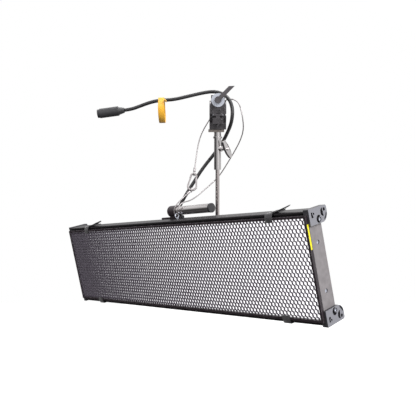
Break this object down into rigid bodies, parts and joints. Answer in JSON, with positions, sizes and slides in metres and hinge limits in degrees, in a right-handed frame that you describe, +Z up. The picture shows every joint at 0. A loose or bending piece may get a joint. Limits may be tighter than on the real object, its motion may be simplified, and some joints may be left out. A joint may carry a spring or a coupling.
{
  "type": "led batten light",
  "caption": "LED batten light with a honeycomb louver, pan and tilt hanger, pipe clamp, side arm, safety wire and mains lead.",
  "frame": {"origin": "pipe axis at the middle of the clamp", "axes": "+X along the pipe, +Z up, +Y away from the viewer"},
  "size_m": [0.7176, 0.7597, 0.5842],
  "materials": {
    "clamp_black": "satin black casting",
    "zinc": "bright zinc plate",
    "taupe_plate": "satin",
    "chrome": "bright",
    "rod_steel": "drawn",
    "yellow_strap": "woven",
    "lead_rubber": "satin",
    "black_plastic": "matte",
    "wire": "stranded",
    "housing_black": "black anodised",
    "bracket_plastic": "moulded",
    "end_cap_grey": "satin grey",
    "frame_black": "moulded",
    "louver_black": "formed",
    "opal": "opal, lit",
    "strap_fabric": "woven hook and loop",
    "label_yellow": "printed",
    "aluminium": "mill",
    "board": "white solder mask",
    "led": "phosphor",
    "case_black": "powder coat",
    "driver_green": "board"
  },
  "bodies": {
    "root": {"clamp_body": "clamp_black", "clamp_pins": "zinc", "clamp_bolt": "zinc", "base_plate": "taupe_plate", "collar": "chrome", "receiver_tube": "chrome", "receiver_boss": "chrome", "pipe_tie": "yellow_strap", "lead_upper": "lead_rubber", "lead_connector": "black_plastic", "wire_upper": "wire"},
    "clamp_jaw": {"clamp_jaw": "clamp_black"},
    "clamp_nut": {"clamp_washer": "zinc"},
    "clamp_lever": {"clamp_lever": "clamp_black"},
    "t_handle": {"t_handle": "chrome"},
    "rod": {"hanger_rod": "rod_steel", "rod_knuckle": "rod_steel", "wire_ferrules": "wire", "wire_eyes": "wire", "carabiner": "wire"},
    "carabiner_gate": {"carabiner_gate": "wire"},
    "tilt_knob": {"tilt_knob": "black_plastic"},
    "arm_tube": {"arm_tube": "chrome", "arm_cap": "black_plastic"},
    "arm_lock": {"arm_lock": "black_plastic"},
    "panel": {"housing": "housing_black", "louver_frame": "frame_black", "louver_core": "louver_black", "diffuser": "opal", "heat_spreader": "aluminium", "led_boards": "board", "led_chips": "led", "end_cap_left": "end_cap_grey", "end_cap_right": "end_cap_grey", "end_screws": "zinc", "end_blocks": "aluminium", "bracket_bottom_left": "bracket_plastic", "bracket_top_left": "bracket_plastic", "bracket_bottom_right": "bracket_plastic", "bracket_top_right": "bracket_plastic", "end_label": "label_yellow", "louver_straps": "strap_fabric", "strap_tails": "strap_fabric", "driver_case": "case_black", "driver_board": "driver_green", "lead_gland": "black_plastic", "strain_relief": "lead_rubber", "lead_tail": "lead_rubber", "lead_coil": "lead_rubber", "coil_hook": "zinc", "coil_tie": "black_plastic", "mount_plate": "housing_black", "back_screws": "zinc", "mount_post": "housing_black", "mount_fork": "housing_black", "pivot_bolt": "zinc", "arm_bracket": "frame_black", "safety_eye": "zinc", "wire_lower": "wire", "lead_lower": "lead_rubber"}
  },
  "joints": [
    {"name": "pan", "type": "hinge", "parent": "root", "child": "rod", "pos_m": [0, 0, 0], "axis": [0, -0.2421, 0.9703], "range_deg": [-60, 60], "deforming": ["lead_upper", "wire_upper"]},
    {"name": "tilt", "type": "hinge", "parent": "rod", "child": "panel", "pos_m": [0, 0.08961, -0.3594], "axis": [0.6807, -0.7325, 0], "range_deg": [-20, 40], "deforming": ["lead_lower", "wire_lower"]},
    {"name": "jaw_open", "type": "hinge", "parent": "root", "child": "clamp_jaw", "pos_m": [0, -0.03348, -0.01453], "axis": [1, 0, 0], "range_deg": [0, 12]},
    {"name": "nut_travel", "type": "slide", "parent": "root", "child": "clamp_nut", "axis": [0, -0.9703, -0.2421], "range_m": [0, 0.012]},
    {"name": "lever_turn", "type": "hinge", "parent": "clamp_nut", "child": "clamp_lever", "pos_m": [0, -0.05456, 0.02041], "axis": [0, -0.9703, -0.2421], "range_deg": [-180, 180]},
    {"name": "t_handle_turn", "type": "hinge", "parent": "root", "child": "t_handle", "pos_m": [0, 0.02298, -0.09218], "axis": [0.8189, -0.5569, -0.139], "range_deg": [-180, 180]},
    {"name": "tilt_knob_turn", "type": "hinge", "parent": "panel", "child": "tilt_knob", "pos_m": [0.01974, 0.06836, -0.3594], "axis": [0.6807, -0.7325, 0], "range_deg": [-180, 180]},
    {"name": "arm_slide", "type": "slide", "parent": "panel", "child": "arm_tube", "axis": [0.6807, -0.7325, 0], "range_m": [-0.095, 0.01]},
    {"name": "arm_lock_turn", "type": "hinge", "parent": "panel", "child": "arm_lock", "pos_m": [-0.09775, -0.02853, -0.28039], "axis": [0.6807, -0.7325, 0], "range_deg": [-180, 180]},
    {"name": "gate_open", "type": "hinge", "parent": "rod", "child": "carabiner_gate", "pos_m": [-0.07604, -0.02881, -0.19055], "axis": [0, -0.93, 0.3674], "range_deg": [-20, 0], "stiffness_Nm_per_rad": 0.02}
  ],
  "couplings": [
    {"joint": "nut_travel", "follows": "jaw_open", "m_per_rad": 0.0545}
  ]
}
